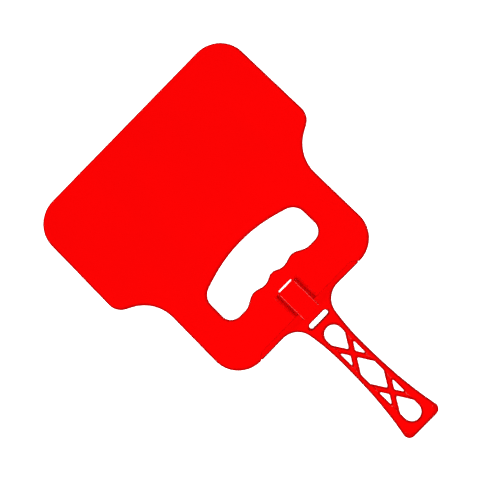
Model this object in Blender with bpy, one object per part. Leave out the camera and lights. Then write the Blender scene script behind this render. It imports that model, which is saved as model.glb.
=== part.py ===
"""Charcoal fan: a flat moulded blade with a grip hole, and a lattice handle that
plugs onto its lower edge and is kept there by a springy latch tongue.

Frame: metres. +X is to the right, +Y runs from the handle to the blade's top edge
and +Z is the front face. The origin is under the middle of the whole fan, on the
plane that its back rests on.

Every outline is symmetric about X = 0, so it is drawn once, as its right half.
"""

import math

import bmesh
import bpy

MM = 0.001

# Overall sizes
BLADE_WIDTH = 247.4 * MM
BLADE_LENGTH = 240.5 * MM
HANDLE_LENGTH = 139.5 * MM  # from the blade's lower edge to the handle's end

# Fits
FIT_GAP = 0.3 * MM  # between any two pieces, on every side
THROUGH = 2.0 * MM  # how far a cutter runs past the face it starts from

# Blade
SHEET = 2.4 * MM
SHEET_BACK = 2.3 * MM  # height of the sheet's back over the resting plane
RIM_WIDTH = 3.2 * MM
LOWER_WIDTH = 180.8 * MM  # the narrower part around the grip hole
SHOULDER_DROP = 116.0 * MM  # top edge to the corner where the side turns in
SHOULDER_ANGLE = math.radians(29.0)  # of the shoulder line, below the horizontal
TOP_CORNER_R = 29.5 * MM
SHOULDER_R = 15.5 * MM
SHOULDER_FILLET_R = 38.0 * MM
LOWER_CORNER_R = 29.2 * MM

# Grip hole
GRIP_WIDTH = 116.2 * MM
GRIP_HEIGHT = 46.6 * MM
GRIP_FLOOR = 41.7 * MM  # blade's lower edge to the lowest part of the hole
GRIP_CROWN_R = 135.0 * MM
GRIP_ARCH_WIDTH = 81.0 * MM  # the arch's round stretch, which runs straight into its corners
GRIP_TOP_R = 13.4 * MM
GRIP_FLOOR_R = 11.0 * MM
# Finger wave on the floor of the hole: (distance from the middle, height) at the end of
# the middle bump's flat top, then at each place where the wave turns
FINGER_TURNS = (
    (2.5 * MM, 6.9 * MM),
    (11.9 * MM, 3.6 * MM),
    (23.8 * MM, 6.0 * MM),
    (40.0 * MM, 0.0),
)

# Joint between the blade and the handle, whose two wings clasp the blade's lower edge
WING_HEIGHT = 4.9 * MM
WING_SLANT = 5.0 * MM  # how far each wing's top is shorter than its foot
WING_WEB = 1.4 * MM  # wall below the blade's edge
FRONT_LIP = 1.0 * MM
TENON_WIDTH = 24.0 * MM
TENON_SHORT = 1.2 * MM  # from the tenon's end to the neck slot
JAW_WIDTH = 32.0 * MM  # flat finger behind the blade
JAW_SHORT = 0.6 * MM  # from the jaw's tip to the blade's slot
JAW_TIP_R = 3.5 * MM

# Latch tongue and the two slots
TONGUE_WIDTH = 19.0 * MM
TONGUE_LENGTH = 34.6 * MM
TONGUE_THICKNESS = 3.0 * MM
TONGUE_ROOT = 4.3 * MM  # blade's lower edge to the tongue's root
TONGUE_TIP_R = 2.2 * MM
BLADE_SLOT_WIDTH = 15.4 * MM
BLADE_SLOT_HEIGHT = 1.7 * MM
SIDE_SLOT_WIDTH = 2.3 * MM  # the two slots beside the tongue, with the jaw behind them
SIDE_SLOT_SHORT = 0.6 * MM  # from their far ends to the tongue's tip
SIDE_SLOT_UNDER = 1.5 * MM  # how far they run on under the wings' lip
NECK_SLOT_WIDTH = 21.2 * MM
NECK_SLOT_HEIGHT = 4.2 * MM
NECK_BRIDGE = 3.5 * MM  # solid strip between the tongue's root and the neck slot

# Handle
FLARE_R = 18.4 * MM  # where the neck runs out into the wings
WAIST_WIDTH = 25.6 * MM
WAIST_DROP = 50.5 * MM  # blade's lower edge to the narrowest place
WAIST_R = 210.0 * MM  # of the side above the waist
END_WIDTH = 41.6 * MM  # across the end, before its corners are rounded
END_POWER = 2.45  # how late the side below the waist swings out
END_STRAIGHT = 0.91  # share of the way to the end where the side becomes straight
END_CORNER_R = 6.0 * MM

# Lattice in the handle
RAIL_WIDTH = 4.65 * MM  # at the waist
LATTICE_TOP = 20.7 * MM  # blade's lower edge to the top of the first window
LATTICE_END_WALL = 8.2 * MM  # between the last window and the handle's end
END_WINDOW_SIDE = 5.5 * MM  # straight side of the first and the last window
MIDDLE_WINDOW_SIDE = 10.9 * MM
CROSS_BAR = 5.3 * MM
CROSS_FILLET_R = 2.0 * MM
CROSS_SUNK = 0.8 * MM  # how far the bars lie under the rails, front and back
TRIANGLE_R = 0.6 * MM

ARC_STEP = math.radians(9.0)
CURVE_STEPS = 12
RED = (0.86, 0.004, 0.004, 1.0)

# Places along X
WING_END_GAP = FIT_GAP * math.hypot(WING_SLANT, WING_HEIGHT) / WING_HEIGHT  # the fit gap, along X
X_WING = LOWER_WIDTH / 2 - LOWER_CORNER_R - WING_END_GAP  # up to where the blade's corners begin
X_RAIL = WAIST_WIDTH / 2 - RAIL_WIDTH  # the rails' inner sides
# Places along Y
Y_TOP = (BLADE_LENGTH + HANDLE_LENGTH) / 2
Y_END = -Y_TOP
Y_EDGE = Y_TOP - BLADE_LENGTH  # the blade's lower edge, and the wings' foot
Y_STEP = Y_EDGE + WING_HEIGHT
Y_ROOT = Y_EDGE - TONGUE_ROOT
Y_TIP = Y_ROOT + TONGUE_LENGTH
Y_NECK_SLOT = Y_ROOT - NECK_BRIDGE
Y_REBATE = Y_EDGE + WING_WEB + FIT_GAP  # the blade's edge inside the wings
Y_TENON = Y_NECK_SLOT + TENON_SHORT
Y_BLADE_SLOT = Y_TIP + FIT_GAP + BLADE_SLOT_HEIGHT / 2
# Places along Z
Z_SHEET_FRONT = SHEET_BACK + SHEET
Z_CHANNEL = (SHEET_BACK - FIT_GAP, Z_SHEET_FRONT + FIT_GAP)
Z_LIP = Z_CHANNEL[1] + FRONT_LIP
Z_FRONT = Z_CHANNEL[1] + TONGUE_THICKNESS  # the handle's front, level with the tongue's
Z_HINGE = (Z_CHANNEL[1] + Z_FRONT) / 2
Z_THROUGH = (-THROUGH, Z_FRONT + THROUGH)


# ---------------------------------------------------------------- outlines


def arc(centre, radius, start, end):
    """Points of an arc from one angle to another, both ends included."""
    count = max(1, math.ceil(abs(end - start) / ARC_STEP))
    angles = [start + (end - start) * i / count for i in range(count + 1)]
    return [(centre[0] + radius * math.cos(a), centre[1] + radius * math.sin(a)) for a in angles]


def corner(before, here, after):
    """Unit vectors from a corner to its neighbours, half its angle, and both lengths."""
    ax, ay = before[0] - here[0], before[1] - here[1]
    bx, by = after[0] - here[0], after[1] - here[1]
    la, lb = math.hypot(ax, ay), math.hypot(bx, by)
    a, b = (ax / la, ay / la), (bx / lb, by / lb)
    half = math.acos(max(-1.0, min(1.0, a[0] * b[0] + a[1] * b[1]))) / 2
    return a, b, half, la, lb


def fillet(here, a, b, half, radius):
    """The arc that rounds one corner, tangent to its lines along a and b."""
    mx, my = a[0] + b[0], a[1] + b[1]
    reach = radius / math.sin(half) / math.hypot(mx, my)
    centre = (here[0] + reach * mx, here[1] + reach * my)
    back = radius / math.tan(half)
    start = math.atan2(here[1] + back * a[1] - centre[1], here[0] + back * a[0] - centre[0])
    end = math.atan2(here[1] + back * b[1] - centre[1], here[0] + back * b[0] - centre[0])
    turn = (end - start + math.pi) % (2 * math.pi) - math.pi
    return arc(centre, radius, start, start + turn)


def rounded(path):
    """A closed path of (x, y, corner radius) as points, with its corners rounded.

    Two roundings that would meet on one line share it in proportion."""
    count = len(path)
    corners = [corner(path[i - 1], path[i], path[(i + 1) % count]) for i in range(count)]
    back = [path[i][2] / math.tan(corners[i][2]) if path[i][2] else 0.0 for i in range(count)]
    points = []
    for i, (x, y, radius) in enumerate(path):
        if not radius:
            points.append((x, y))
            continue
        a, b, half, la, lb = corners[i]
        share = min(1.0, la / (back[i - 1] + back[i]), lb / (back[i] + back[(i + 1) % count]))
        points += fillet((x, y), a, b, half, radius * share)
    return points


def mirrored(right):
    """A closed path from its right half, which runs from the top down."""
    left = [(-x, *rest) for x, *rest in reversed(right) if x > 0]
    return right + left


def inset(path, distance):
    """A clockwise path of (x, y, radius) moved inwards, with its radii to match."""
    moved = []
    for i, (x, y, radius) in enumerate(path):
        px, py = path[i - 1][:2]
        nx, ny = path[(i + 1) % len(path)][:2]
        d1 = math.atan2(y - py, x - px)
        d2 = math.atan2(ny - y, nx - x)
        turn = (d2 - d1 + math.pi) % (2 * math.pi) - math.pi
        normal = d1 + turn / 2 - math.pi / 2
        reach = distance / math.cos(turn / 2)
        change = distance if turn > 0 else -distance
        new_radius = max(radius + change, 0.2 * MM) if radius else 0.0
        moved.append((x + reach * math.cos(normal), y + reach * math.sin(normal), new_radius))
    return moved


def slot_outline(width, height, middle_y):
    """A slot lying along X with round ends."""
    radius = height / 2
    straight = width / 2 - radius
    right = arc((straight, middle_y), radius, math.pi / 2, -math.pi / 2)
    return mirrored(right)


def side_slot_outline(side):
    """A slot along Y with round ends, flush with the tongue's right (1) or left (-1) side."""
    near, far = TONGUE_WIDTH / 2, TONGUE_WIDTH / 2 + SIDE_SLOT_WIDTH
    low, high = Y_STEP - SIDE_SLOT_UNDER, Y_TIP - SIDE_SLOT_SHORT
    radius = SIDE_SLOT_WIDTH / 2
    corners = [(near, high), (far, high), (far, low), (near, low)]
    return rounded([(side * x, y, 0.98 * radius) for x, y in corners])


def blade_path():
    """Right half of the blade's silhouette, without its rebate and tenon."""
    wide, narrow = BLADE_WIDTH / 2, LOWER_WIDTH / 2
    shoulder = Y_TOP - SHOULDER_DROP
    notch = shoulder - (wide - narrow) * math.tan(SHOULDER_ANGLE)
    return [
        (wide, Y_TOP, TOP_CORNER_R),
        (wide, shoulder, SHOULDER_R),
        (narrow, notch, SHOULDER_FILLET_R),
        (narrow, Y_EDGE, LOWER_CORNER_R),
    ]


def blade_outline():
    """The blade with the rebate that the wings clasp and the tenon between them."""
    foot = X_WING + WING_END_GAP
    slant = WING_SLANT * (Y_REBATE - Y_EDGE) / WING_HEIGHT
    edge = [
        (foot, Y_EDGE, 0.0),
        (foot - slant, Y_REBATE, 0.0),
        (TENON_WIDTH / 2, Y_REBATE, 0.0),
        (TENON_WIDTH / 2, Y_TENON, 0.0),
    ]
    return rounded(mirrored(blade_path() + edge))


def finger_wave():
    """The hole's floor from the middle outwards: half a cosine between two turns, and a
    quarter of a sine down from the middle bump, whose edge is sharper."""
    floor = Y_EDGE + GRIP_FLOOR
    points = [(x, floor + height) for x, height in FINGER_TURNS[:1]]
    for leg, ((x0, h0), (x1, h1)) in enumerate(zip(FINGER_TURNS, FINGER_TURNS[1:])):
        for i in range(1, CURVE_STEPS // 2 + 1):
            t = i / (CURVE_STEPS // 2)
            fall = (1 - math.cos(math.pi * t)) / 2 if leg else math.sin(math.pi * t / 2)
            height = h0 + (h1 - h0) * fall
            points.append((x0 + (x1 - x0) * t, floor + height))
    return points


def grip_outline(grow=0.0):
    """The grip hole: an arched top, and a floor shaped for four fingers."""
    side = GRIP_WIDTH / 2 + grow
    floor = Y_EDGE + GRIP_FLOOR
    centre = (0.0, floor + GRIP_HEIGHT - GRIP_CROWN_R)
    spread = math.asin(GRIP_ARCH_WIDTH / 2 / GRIP_CROWN_R)
    arch = arc(centre, GRIP_CROWN_R + grow, math.pi / 2, math.pi / 2 - spread)
    end_x, end_y = arch[-1]
    path = [(x, y, 0.0) for x, y in arch]
    path.append((side, end_y - (side - end_x) * math.tan(spread), GRIP_TOP_R + grow))
    path.append((side, floor - grow, GRIP_FLOOR_R + grow))
    path += [(x, y - grow, 0.0) for x, y in reversed(finger_wave())]
    return rounded(mirrored(path))


def flare():
    """Where the waist's side meets the flare: (x, y, angle of the side there)."""
    centre_y = Y_EDGE - FLARE_R
    waist_y = Y_EDGE - WAIST_DROP
    angle = 0.0
    for _ in range(20):
        angle = math.atan((centre_y + FLARE_R * math.sin(angle) - waist_y) / WAIST_R)
    y = centre_y + FLARE_R * math.sin(angle)
    return WAIST_WIDTH / 2 + (y - waist_y) ** 2 / (2 * WAIST_R), y, angle


def side_below_waist(share):
    """Half width of the handle at a share of the way from its waist to its end."""
    return WAIST_WIDTH / 2 + (END_WIDTH - WAIST_WIDTH) / 2 * share**END_POWER


def handle_outline():
    """The handle from the wings' top line to its end."""
    x, y, angle = flare()
    flare_x = x + FLARE_R * math.cos(angle)
    right = [(X_WING - WING_SLANT, Y_STEP, 0.0), (X_WING, Y_EDGE, 0.0)]
    sweep = arc((flare_x, Y_EDGE - FLARE_R), FLARE_R, math.pi / 2, math.pi - angle)
    right += [(px, py, 0.0) for px, py in sweep]
    waist_y = Y_EDGE - WAIST_DROP
    for i in range(1, CURVE_STEPS // 2 + 1):
        py = y + (waist_y - y) * 2 * i / CURVE_STEPS
        right.append((WAIST_WIDTH / 2 + (py - waist_y) ** 2 / (2 * WAIST_R), py, 0.0))
    for i in range(1, CURVE_STEPS + 1):
        share = END_STRAIGHT * i / CURVE_STEPS
        right.append((side_below_waist(share), waist_y + (Y_END - waist_y) * share, 0.0))
    slope = (END_WIDTH - WAIST_WIDTH) / 2 * END_POWER * END_STRAIGHT ** (END_POWER - 1)
    corner_x = side_below_waist(END_STRAIGHT) + slope * (1 - END_STRAIGHT)
    right.append((corner_x, Y_END, END_CORNER_R))
    return rounded(mirrored(right))


def crosses():
    """How the two crossings fill what the windows' sides leave of the lattice.

    It gives their places along Y, then how far from a crossing its bars' sides meet
    the middle line, the rails (outer and inner side), and the line across it."""
    top, end = Y_EDGE - LATTICE_TOP, Y_END + LATTICE_END_WALL
    outer = (top - end - 2 * X_RAIL - 2 * END_WINDOW_SIDE - MIDDLE_WINDOW_SIDE) / 4
    tip = 0.0
    for _ in range(30):
        half = math.atan(X_RAIL / (outer - tip))
        tip = CROSS_BAR / 2 / math.sin(half)
    first = top - X_RAIL - END_WINDOW_SIDE - outer
    places = (first, first - 2 * outer - MIDDLE_WINDOW_SIDE)
    return places, tip, outer, outer - 2 * tip, CROSS_BAR / 2 / math.cos(half)


def lattice_outlines():
    """The handle's openings: three windows, and a triangle on each side of a crossing."""
    (first, second), tip, outer, inner, waist = crosses()
    top = arc((0, Y_EDGE - LATTICE_TOP - X_RAIL), X_RAIL, math.pi / 2, 0)
    end = arc((0, Y_END + LATTICE_END_WALL + X_RAIL), X_RAIL, 0, -math.pi / 2)
    windows = [
        [(x, y, 0.0) for x, y in top] + [(X_RAIL, first + outer, 0.0), (0.0, first + tip, CROSS_FILLET_R)],
        [
            (0.0, first - tip, CROSS_FILLET_R),
            (X_RAIL, first - outer, 0.0),
            (X_RAIL, second + outer, 0.0),
            (0.0, second + tip, CROSS_FILLET_R),
        ],
        [(0.0, second - tip, CROSS_FILLET_R), (X_RAIL, second - outer, 0.0)]
        + [(x, y, 0.0) for x, y in end],
    ]
    outlines = [rounded(mirrored(window)) for window in windows]
    for middle in (first, second):
        for sign in (1, -1):
            triangle = [
                (sign * waist, middle, CROSS_FILLET_R),
                (sign * X_RAIL, middle + inner, TRIANGLE_R),
                (sign * X_RAIL, middle - inner, TRIANGLE_R),
            ]
            outlines.append(rounded(triangle))
    return outlines


# ---------------------------------------------------------------- solids


def solid(name, bodies, material=None):
    """An object from closed prisms, each (outline, low, high) along Z."""
    mesh = bmesh.new()
    for outline, low, high in bodies:
        base = mesh.faces.new([mesh.verts.new((x, y, low)) for x, y in outline])
        risen = bmesh.ops.extrude_face_region(mesh, geom=[base])["geom"]
        verts = [item for item in risen if isinstance(item, bmesh.types.BMVert)]
        bmesh.ops.translate(mesh, verts=verts, vec=(0, 0, high - low))
    bmesh.ops.remove_doubles(mesh, verts=mesh.verts, dist=0.001 * MM)
    bmesh.ops.recalc_face_normals(mesh, faces=mesh.faces)
    data = bpy.data.meshes.new(name)
    mesh.to_mesh(data)
    mesh.free()
    obj = bpy.data.objects.new(name, data)
    bpy.context.scene.collection.objects.link(obj)
    if material:
        data.materials.append(material)
    else:
        obj.hide_render = True
        obj.display_type = "WIRE"
    return obj


def side_prism(name, profile, half_width):
    """A prism along X from a closed (y, z) profile."""
    obj = solid(name, [(profile, -half_width, half_width)])
    # (y, z, x) of the drawn prism becomes (x, y, z)
    for vert in obj.data.vertices:
        y, z, x = vert.co
        vert.co = (x, y, z)
    return obj


def boolean(target, tool, operation):
    modifier = target.modifiers.new(f"{operation.lower()} {tool.name}", "BOOLEAN")
    modifier.solver = "EXACT"
    modifier.operation = operation
    modifier.object = tool


def box(x, y):
    """A rectangle of half width x between two places along Y."""
    return [(-x, y[0]), (x, y[0]), (x, y[1]), (-x, y[1])]


def plastic(name, roughness):
    material = bpy.data.materials.new(name)
    material.use_nodes = True
    shader = material.node_tree.nodes["Principled BSDF"]
    shader.inputs["Base Color"].default_value = RED
    shader.inputs["Roughness"].default_value = roughness
    shader.inputs["Metallic"].default_value = 0.0
    return material


def make_blade():
    """The sheet, its rim behind the edges, the grip hole and the latch's slots."""
    blade = solid("blade", [(blade_outline(), 0.0, Z_SHEET_FRONT)], plastic("blade_plastic", 0.3))
    inside = rounded(inset(mirrored(blade_path()), RIM_WIDTH))
    hollow = solid("blade_hollow", [(inside, -THROUGH, SHEET_BACK)])
    grip_rim = solid("grip_rim", [(grip_outline(RIM_WIDTH), *Z_THROUGH)])
    boolean(hollow, grip_rim, "DIFFERENCE")
    boolean(blade, hollow, "DIFFERENCE")

    clasped = box(X_WING + WING_END_GAP, (Y_TENON - THROUGH, Y_STEP + FIT_GAP))
    boolean(blade, solid("clasped_edge", [(clasped, -THROUGH, SHEET_BACK)]), "DIFFERENCE")

    holes = [grip_outline(), slot_outline(BLADE_SLOT_WIDTH, BLADE_SLOT_HEIGHT, Y_BLADE_SLOT)]
    holes += [side_slot_outline(side) for side in (1, -1)]
    boolean(blade, solid("blade_holes", [(hole, *Z_THROUGH) for hole in holes]), "DIFFERENCE")
    return blade


def front_ramp():
    """Side view of the handle: its front climbs from the wings' lip to the neck."""
    return [
        (Y_STEP + THROUGH, 0.0),
        (Y_STEP + THROUGH, Z_LIP),
        (Y_STEP, Z_LIP),
        (Y_ROOT, Z_FRONT),
        (Y_END - THROUGH, Z_FRONT),
        (Y_END - THROUGH, 0.0),
    ]


def make_handle():
    """Wings and jaw that clasp the blade, the neck with its slot, and the lattice."""
    handle = solid("handle", [(handle_outline(), *Z_THROUGH)], plastic("handle_plastic", 0.34))
    boolean(handle, side_prism("front_ramp", front_ramp(), LOWER_WIDTH), "INTERSECT")

    jaw_tip = Y_BLADE_SLOT - BLADE_SLOT_HEIGHT / 2 - JAW_SHORT
    jaw = [(JAW_WIDTH / 2, jaw_tip, JAW_TIP_R), (JAW_WIDTH / 2, Y_EDGE, 0.0)]
    boolean(handle, solid("rear_jaw", [(rounded(mirrored(jaw)), 0.0, Z_CHANNEL[0])]), "UNION")

    channel = box(LOWER_WIDTH, (Y_EDGE + WING_WEB, Y_STEP + THROUGH))
    boolean(handle, solid("channel", [(channel, *Z_CHANNEL)]), "DIFFERENCE")
    slot_y = Y_NECK_SLOT - NECK_SLOT_HEIGHT / 2
    socket = box(TENON_WIDTH / 2 + FIT_GAP, (slot_y, Y_STEP))
    boolean(handle, solid("socket", [(socket, *Z_CHANNEL)]), "DIFFERENCE")
    bay = box(TONGUE_WIDTH / 2 + FIT_GAP, (Y_ROOT - FIT_GAP, Y_STEP + THROUGH))
    boolean(handle, solid("tongue_bay", [(bay, Z_CHANNEL[0], Z_THROUGH[1])]), "DIFFERENCE")

    holes = [slot_outline(NECK_SLOT_WIDTH, NECK_SLOT_HEIGHT, slot_y), *lattice_outlines()]
    boolean(handle, solid("handle_holes", [(hole, *Z_THROUGH) for hole in holes]), "DIFFERENCE")

    places, _, outer, _, _ = crosses()
    sunk = []
    for y in places:
        field = box(X_RAIL, (y - outer, y + outer))
        sunk.append((field, -THROUGH, CROSS_SUNK))
        sunk.append((field, Z_FRONT - CROSS_SUNK, Z_THROUGH[1]))
    boolean(handle, solid("sunk_crosses", sunk), "DIFFERENCE")
    return handle


def make_latch_tongue(handle):
    """The springy tongue on the front; its origin is on the axis that it bends about."""
    half = TONGUE_WIDTH / 2
    path = [(half, Y_TIP - Y_ROOT, TONGUE_TIP_R), (half, 0.0, 0.0)]
    low, high = Z_CHANNEL[1] - Z_HINGE, Z_FRONT - Z_HINGE
    tongue = solid("latch_tongue", [(rounded(mirrored(path)), low, high)], plastic("tongue_plastic", 0.3))
    tongue.parent = handle
    tongue.location = (0.0, Y_ROOT, Z_HINGE)
    return tongue


def main():
    for obj in list(bpy.data.objects):
        bpy.data.objects.remove(obj, do_unlink=True)
    make_blade()
    make_latch_tongue(make_handle())


main()
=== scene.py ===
"""Charcoal hand fan: a moulded blade with a grip hole, a lattice handle and a latch tongue.

Each shell is a surface worked out from a few sizes. An outline is drawn from straight
runs and arcs. An edge profile is carried along it, from the front face round to the back.
The two faces are heights over a grid of points that fills what the edges enclose.

Frame: metres, +X right, +Y from the handle to the blade's top edge, +Z out of the front.
"""

import math

import bpy
import numpy as np
from mathutils import Euler, Matrix, Vector
from mathutils.geometry import delaunay_2d_cdt


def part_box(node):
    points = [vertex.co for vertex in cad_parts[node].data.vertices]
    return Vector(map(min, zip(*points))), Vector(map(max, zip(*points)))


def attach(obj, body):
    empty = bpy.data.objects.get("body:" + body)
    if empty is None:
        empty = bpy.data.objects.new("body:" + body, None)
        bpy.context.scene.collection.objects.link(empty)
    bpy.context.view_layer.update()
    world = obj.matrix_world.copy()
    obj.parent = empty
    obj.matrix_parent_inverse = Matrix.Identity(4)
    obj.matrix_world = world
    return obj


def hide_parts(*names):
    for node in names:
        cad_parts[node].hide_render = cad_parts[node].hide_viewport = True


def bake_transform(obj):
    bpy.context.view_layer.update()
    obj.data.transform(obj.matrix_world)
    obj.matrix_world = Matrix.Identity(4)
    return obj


bl_info = {
    "name": "Charcoal Hand Fan",
    "version": (1, 0, 0),
    "blender": (4, 5, 0),
    "location": "View3D > Sidebar > Fan",
    "description": "Builds a moulded hand fan with a lattice handle and a latch tongue",
    "category": "Add Mesh",
}

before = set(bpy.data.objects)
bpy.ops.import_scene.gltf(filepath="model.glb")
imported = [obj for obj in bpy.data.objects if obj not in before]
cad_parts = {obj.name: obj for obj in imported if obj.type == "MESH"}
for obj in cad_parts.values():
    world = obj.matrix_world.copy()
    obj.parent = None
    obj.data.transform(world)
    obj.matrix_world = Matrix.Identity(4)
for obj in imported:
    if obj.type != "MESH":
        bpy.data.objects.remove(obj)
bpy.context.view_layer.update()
BLADE_LOW, BLADE_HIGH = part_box("blade")
HANDLE_LOW, HANDLE_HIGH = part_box("handle")
TONGUE_LOW, TONGUE_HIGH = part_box("latch_tongue")

MM = 0.001
ARC_STEP = math.radians(4.0)
SHARP = math.radians(35.0)  # two faces at a wider angle than this meet in a hard edge
GUARD = 0.2 * MM  # flat strip inside an edge's rounding, which keeps the face's shading flat
SOLVER_ROUNDS = 30  # turns after which a size that depends on itself has settled
BEYOND = 0.2  # a place to the side of the whole fan

TENON_HALF = 12.0 * MM
FOOT_CORNER, REBATE_CORNER, TENON_CORNER = 1.2 * MM, 0.8 * MM, 1.5 * MM
FLOOR_FLAT = 40.0 * MM  # from the middle to where the grip hole's floor is flat
MIDDLE_FLAT = 2.5 * MM  # half of the middle bump's flat top
BUMP_CORNER = 0.8 * MM
PIP_X, PIP_Y = 15.2 * MM, 6.3 * MM  # the pips' places from the middle and from the end
PIP_RADIUS, PIP_HEIGHT = 1.6 * MM, 0.5 * MM

# How fine each pattern in the plastic is, as a noise scale
FLOW, RUBS, HAIRS, PEEL, GRAIN = 16.0, 140.0, 60.0, 190.0, 1500.0


def length(name, description, millimetres):
    """A size in metres, from its default in millimetres."""
    return bpy.props.FloatProperty(
        name=name, description=description, default=millimetres * MM,
        soft_min=0.0, precision=5, subtype="DISTANCE", unit="LENGTH",
    )


def colour(name, description, rgb):
    """A colour, from its default in linear red, green and blue."""
    return bpy.props.FloatVectorProperty(
        name=name, description=description, default=rgb, size=3, min=0.0, max=1.0, subtype="COLOR"
    )


def share(name, description, default):
    """A share between 0 and 1."""
    return bpy.props.FloatProperty(
        name=name, description=description, default=default, min=0.0, max=1.0, subtype="FACTOR"
    )


def angle(name, description, degrees):
    """An angle, from its default in degrees."""
    return bpy.props.FloatProperty(
        name=name, description=description, default=math.radians(degrees),
        subtype="ANGLE", unit="ROTATION",
    )


def power(name, description, watts):
    """A light's power in watts."""
    return bpy.props.FloatProperty(
        name=name, description=description, default=watts, min=0.0, unit="POWER"
    )


class FanBlade(bpy.types.PropertyGroup):
    """Sizes of the blade's sheet and of the rim behind its edges."""

    length: length("Length", "From the top edge to the lower edge", 240.5)
    thickness: length("Sheet", "Thickness of the sheet", 2.4)
    rim_width: length("Rim width", "Width of the stiffening rim behind the edges", 3.2)
    lower_width: length("Lower width", "Across the narrower part around the grip hole", 180.8)
    shoulder_drop: length("Shoulder drop", "From the top edge to where the side turns in", 116.0)
    shoulder_angle: angle("Shoulder angle", "Slope of the shoulder under the horizontal", 29.0)
    top_radius: length("Top corner", "Radius of the two top corners", 29.5)
    shoulder_radius: length("Shoulder", "Radius where the side turns in", 15.5)
    notch_radius: length("Notch", "Radius where the shoulder meets the lower side", 38.0)
    lower_radius: length("Lower corner", "Radius of the two lower corners", 29.2)
    rounding: length("Edge rounding", "How far in the front edge's rounding starts", 2.0)
    edge_fall: length("Edge fall", "How deep the front edge's rounding reaches", 3.5)
    pin_radius: length("Pin mark", "Radius of the ejector pins' marks on the back", 3.0)
    pin_depth: length("Pin depth", "How deep the ejector pins' marks are", 0.12)


class FanGrip(bpy.types.PropertyGroup):
    """Sizes of the grip hole."""

    width: length("Width", "Across the hole", 116.2)
    height: length("Height", "From the hole's lowest to its highest point", 46.6)
    floor: length("Floor", "From the blade's lower edge to the hole's lowest point", 41.7)
    crown_radius: length("Crown", "Radius of the arched top", 135.0)
    arch_width: length("Arch", "Width of the arch's round stretch", 81.0)
    top_radius: length("Top corner", "Radius of the upper corners", 13.4)
    floor_radius: length("Floor corner", "Radius of the lower corners", 11.0)
    middle_bump: length("Middle bump", "Height of the bump between the middle fingers", 6.9)
    groove: length("Groove", "Height of the two inner finger grooves", 3.6)
    outer_bump: length("Outer bump", "Height of the two outer bumps", 6.0)
    finger: length("Finger", "From the middle to an outer bump", 23.8)


class FanHandle(bpy.types.PropertyGroup):
    """Sizes of the wings, the neck and the lattice."""

    wing_height: length("Wing", "Height of the wings that clasp the blade's edge", 4.9)
    wing_slant: length("Wing slant", "How far a wing's top is shorter than its foot", 5.0)
    wing_web: length("Wing web", "Wall under the blade's edge", 1.4)
    lip: length("Lip", "Thickness of the wings' front lip", 1.0)
    flare_radius: length("Flare", "Radius where the neck runs out into the wings", 18.4)
    waist_width: length("Waist", "Width at the narrowest place", 25.6)
    waist_drop: length("Waist drop", "From the blade's lower edge to the narrowest place", 50.5)
    waist_radius: length("Waist radius", "Radius of the side above the waist", 210.0)
    end_width: length("End", "Across the end, before its corners are rounded", 41.6)
    end_radius: length("End corner", "Radius of the end's corners", 6.0)
    rail: length("Rail", "Width of a rail at the waist", 4.65)
    lattice_top: length("Lattice top", "From the blade's lower edge to the first window", 20.7)
    end_wall: length("End wall", "Between the last window and the end", 8.2)
    end_side: length("End window", "Straight side of the first and the last window", 5.5)
    middle_side: length("Middle window", "Straight side of the middle window", 10.9)
    bar: length("Crossing bar", "Width of the bars that cross", 5.3)
    bar_sunk: length("Bars sunk", "How far the bars lie under the rails", 2.1)
    slot_width: length("Slot width", "Width of the slot in the neck", 21.2)
    slot_height: length("Slot height", "Height of the slot in the neck", 4.2)
    bridge: length("Bridge", "Between the tongue's root and the slot", 3.5)
    edge_rounding: length("Neck edge", "Rounding of the neck's edges", 1.6)
    rail_rounding: length("Rail edge", "Rounding of the rails and bars", 2.0)


class FanTongue(bpy.types.PropertyGroup):
    """Sizes of the latch tongue."""

    tip_radius: length("Tip corner", "Radius of the tip's corners", 2.2)
    rounding: length("Edge rounding", "Rounding of the long edges", 1.15)
    crown: length("Crown", "How much higher the middle is than the sides", 0.2)
    slit_width: length("Slit width", "Width of the slit in the blade at the tip", 15.4)
    slit_height: length("Slit height", "Height of the slit in the blade at the tip", 1.7)
    side_slot: length("Side slot", "Width of the two slots beside the tongue", 2.3)
    side_short: length("Side slot short", "From the side slots' far ends to the tip", 0.6)
    side_under: length("Side slot under", "How far the side slots run on under the lip", 1.5)
    bay_gap: length("Bay gap", "Between the tongue and its bay's sides", 0.1)


class FanPlastic(bpy.types.PropertyGroup):
    """Finish of the moulded polypropylene."""

    red: colour("Red", "Colour of the plastic", (0.62, 0.0002, 0.0002))
    deep_red: colour("Deep red", "Colour where the pigment flowed thicker", (0.6, 0.0002, 0.0002))
    # Lighter, pinker colour on the rounded edges: partly real scuffing, partly a painted highlight.
    scuffed_and_highlit: colour("Scuffed", "Colour of scuffed edges", (0.64, 0.005, 0.005))
    roughness: share("Roughness", "Roughness of the moulded skin", 0.17)
    scuffing_and_highlight: share("Scuffing", "How much the edges are scuffed", 0.2)
    grain: length("Grain height", "Height of the skin's grain", 0.02)


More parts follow.
